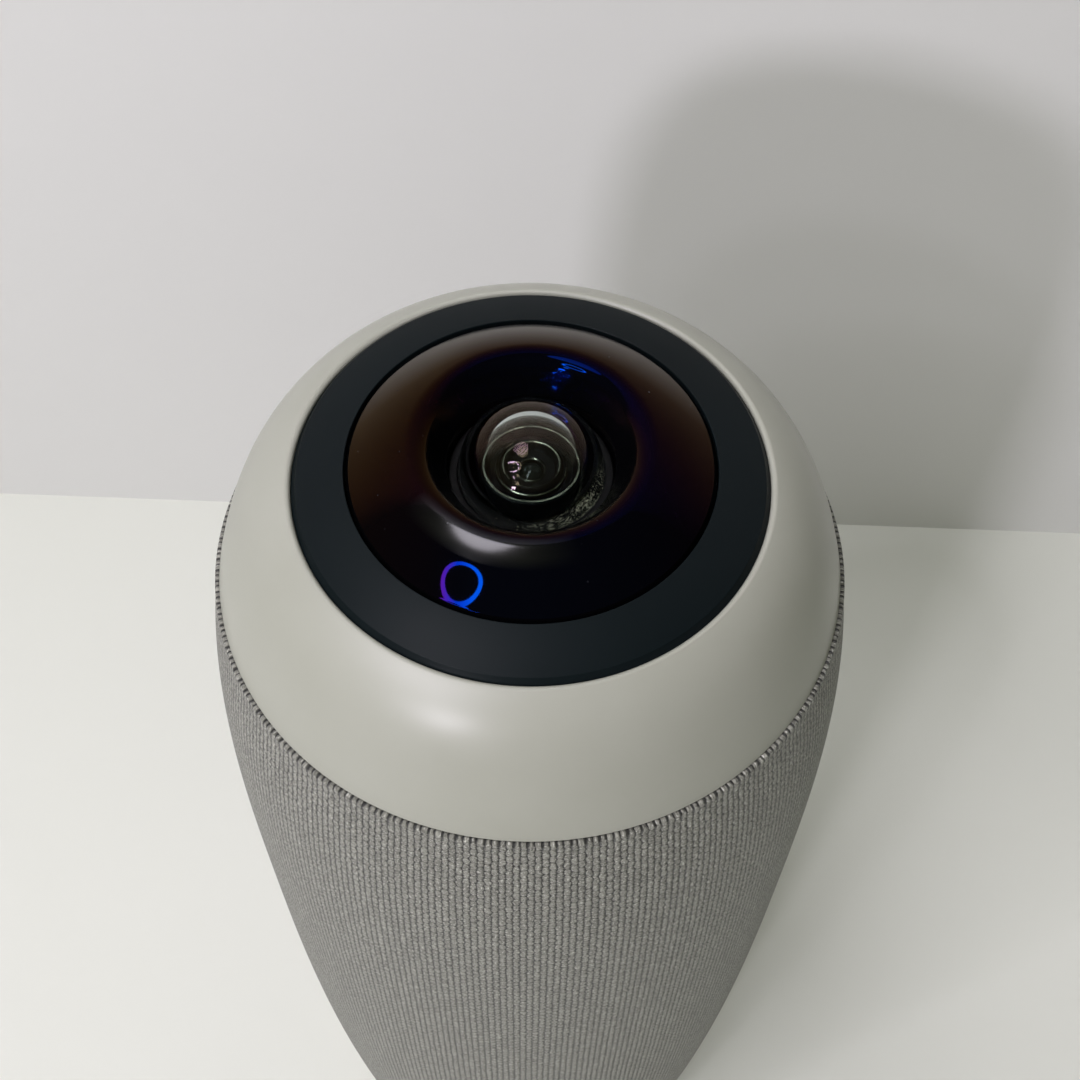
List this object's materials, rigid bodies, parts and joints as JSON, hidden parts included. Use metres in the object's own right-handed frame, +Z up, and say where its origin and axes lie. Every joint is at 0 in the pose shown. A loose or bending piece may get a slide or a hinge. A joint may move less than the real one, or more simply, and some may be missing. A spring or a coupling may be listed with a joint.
{
  "type": "conference camera",
  "caption": "Round table-top conference camera: knit-covered tapered body, plastic cap, dark bezel and glossy crater round an upward fisheye lens, base with buttons and a port recess.",
  "frame": {"origin": "middle of the circle on which the rubber foot touches the table", "axes": "+Z up along the body's axis and the lens's view, -Y towards the front with the buttons, +Y towards the back with the sockets"},
  "size_m": [0.111, 0.111, 0.273],
  "materials": {
    "cap_plastic": "satin, warm light grey, finely textured",
    "base_plastic": "satin, warm light grey, finely textured",
    "key_plastic": "satin, warm light grey",
    "bezel_plastic": "satin charcoal",
    "shroud_plastic": "high gloss black",
    "gasket_foam": "matte foam",
    "front_glass": "polished, coated",
    "inner_glass": "polished, coated",
    "lens_metal": "black anodised, matte",
    "mount_plastic": "matte black",
    "sensor_ceramic": "smooth, glass-lidded",
    "board_laminate": "semi-gloss solder mask",
    "amplifier_laminate": "semi-gloss solder mask",
    "flex_film": "glossy amber film",
    "steel": "zinc plated",
    "mic_metal": "plated lids",
    "light_diffuser": "translucent white",
    "led_resin": "clear resin",
    "knit": "knitted grey yarn",
    "frame_plastic": "matte dark grey",
    "chip_resin": "matte moulding resin",
    "sink_aluminium": "matte extruded",
    "capacitor_sleeve": "smooth sleeve",
    "ferrite": "matte sintered",
    "spider_cloth": "resin-stiffened cloth",
    "surround_rubber": "matte",
    "cone_paper": "matte coated pulp",
    "plate_metal": "powder coated",
    "foot_rubber": "matte",
    "insert_brass": "turned",
    "switch_housing": "matte",
    "plunger_plastic": "matte black"
  },
  "bodies": {
    "body": {"top_cap": "cap_plastic", "base_housing": "base_plastic", "bezel_ring": "bezel_plastic", "dome_shroud": "shroud_plastic", "shroud_gasket": "gasket_foam", "lens_dome": "front_glass", "second_lens": "inner_glass", "rear_lens": "inner_glass", "lens_barrel": "lens_metal", "lens_retainer": "lens_metal", "aperture_ring": "lens_metal", "lens_mount": "mount_plastic", "power_socket": "mount_plastic", "image_sensor": "sensor_ceramic", "sensor_board": "board_laminate", "mic_board": "board_laminate", "main_board": "board_laminate", "button_board": "board_laminate", "port_board": "board_laminate", "amplifier_board": "amplifier_laminate", "camera_flex": "flex_film", "camera_bracket": "steel", "shield_can": "steel", "speaker_yokes": "steel", "data_socket": "steel", "large_screws": "steel", "small_screws": "steel", "microphones": "mic_metal", "light_ring": "light_diffuser", "status_leds": "led_resin", "fabric_sleeve": "knit", "acoustic_frame": "frame_plastic", "core_frame": "frame_plastic", "speaker_box": "frame_plastic", "speaker_baskets": "frame_plastic", "processor": "chip_resin", "heat_sink": "sink_aluminium", "capacitors": "capacitor_sleeve", "speaker_magnets": "ferrite", "speaker_spiders": "spider_cloth", "speaker_surrounds": "surround_rubber", "bottom_plate": "plate_metal", "rubber_foot": "foot_rubber", "tripod_insert": "insert_brass", "switch_bodies": "switch_housing"},
    "volume_down_key": {"button_volume_down": "key_plastic", "plunger_volume_down": "plunger_plastic"},
    "volume_up_key": {"button_volume_up": "key_plastic", "plunger_volume_up": "plunger_plastic"},
    "mute_key": {"button_mute": "key_plastic", "plunger_mute": "plunger_plastic"},
    "start_key": {"button_start": "key_plastic", "plunger_start": "plunger_plastic"},
    "front_cone": {"speaker_cone_front": "cone_paper"},
    "right_cone": {"speaker_cone_right": "cone_paper"},
    "left_cone": {"speaker_cone_left": "cone_paper"}
  },
  "joints": [
    {"name": "volume_down_press", "type": "slide", "parent": "body", "child": "volume_down_key", "axis": [0, 1, 0], "range_m": [0, 0.0005], "stiffness_N_per_m": 2500, "springref_m": -0.0002},
    {"name": "volume_up_press", "type": "slide", "parent": "body", "child": "volume_up_key", "axis": [0, 1, 0], "range_m": [0, 0.0005], "stiffness_N_per_m": 2500, "springref_m": -0.0002},
    {"name": "mute_press", "type": "slide", "parent": "body", "child": "mute_key", "axis": [0, 1, 0], "range_m": [0, 0.0005], "stiffness_N_per_m": 2500, "springref_m": -0.0002},
    {"name": "start_press", "type": "slide", "parent": "body", "child": "start_key", "axis": [0, 1, 0], "range_m": [0, 0.0005], "stiffness_N_per_m": 2500, "springref_m": -0.0002},
    {"name": "front_cone_stroke", "type": "slide", "parent": "body", "child": "front_cone", "axis": [0, -1, 0], "range_m": [-0.001, 0.001], "stiffness_N_per_m": 3000},
    {"name": "right_cone_stroke", "type": "slide", "parent": "body", "child": "right_cone", "axis": [0.866, 0.5, 0], "range_m": [-0.001, 0.001], "stiffness_N_per_m": 3000},
    {"name": "left_cone_stroke", "type": "slide", "parent": "body", "child": "left_cone", "axis": [-0.866, 0.5, 0], "range_m": [-0.001, 0.001], "stiffness_N_per_m": 3000}
  ]
}
